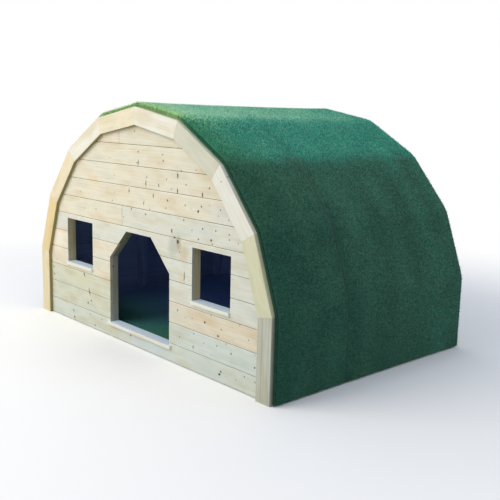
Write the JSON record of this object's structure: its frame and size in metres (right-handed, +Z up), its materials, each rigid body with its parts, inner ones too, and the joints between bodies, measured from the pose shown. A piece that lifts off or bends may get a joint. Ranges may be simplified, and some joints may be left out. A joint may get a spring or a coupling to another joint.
{
  "type": "turf-roofed timber play den",
  "caption": "Child's timber play den: a boarded front with an open doorway and window openings in a mitred arch of trim, under a faceted vault covered with artificial turf.",
  "frame": {"origin": "ground level under the middle of the den's plan", "axes": "+X to the right seen from the front, +Y from the front to the rear, +Z up"},
  "size_m": [2.244, 1.5, 1.3654],
  "materials": {
    "trim_pine": "planed softwood, clear oiled",
    "board_pine": "planed softwood boards",
    "sill_pine": "planed softwood, smooth",
    "frame_pine": "sawn and planed softwood",
    "deck_pine": "planed softwood boards",
    "roof_turf": "artificial turf, tufted pile",
    "floor_turf": "artificial turf, short pile"
  },
  "bodies": {
    "root": {"trim_left_post": "trim_pine", "trim_left_1": "trim_pine", "trim_left_2": "trim_pine", "trim_left_3": "trim_pine", "trim_left_4": "trim_pine", "trim_right_4": "trim_pine", "trim_right_3": "trim_pine", "trim_right_2": "trim_pine", "trim_right_1": "trim_pine", "trim_right_post": "trim_pine", "front_wall_gable": "board_pine", "front_wall_left_side": "board_pine", "front_wall_left_apron": "board_pine", "front_wall_left_pier": "board_pine", "front_wall_threshold": "board_pine", "front_wall_door_corners": "board_pine", "front_wall_right_pier": "board_pine", "front_wall_right_apron": "board_pine", "front_wall_right_side": "board_pine", "rear_wall": "board_pine", "door_sill": "sill_pine", "left_window_sill": "sill_pine", "right_window_sill": "sill_pine", "front_base_rail": "frame_pine", "front_head_rail": "frame_pine", "door_jambs": "frame_pine", "door_corner_braces": "frame_pine", "window_jambs": "frame_pine", "window_sill_rails": "frame_pine", "gable_studs": "frame_pine", "front_rib": "frame_pine", "middle_rib": "frame_pine", "rear_rib": "frame_pine", "rear_base_rail": "frame_pine", "rear_studs": "frame_pine", "floor_bearers": "frame_pine", "side_deck_left": "deck_pine", "side_deck_right": "deck_pine", "roof_deck_left": "deck_pine", "roof_deck_right": "deck_pine", "floor_deck": "deck_pine", "turf_front": "roof_turf", "turf_rear": "roof_turf", "floor_turf": "floor_turf"}
  },
  "joints": []
}
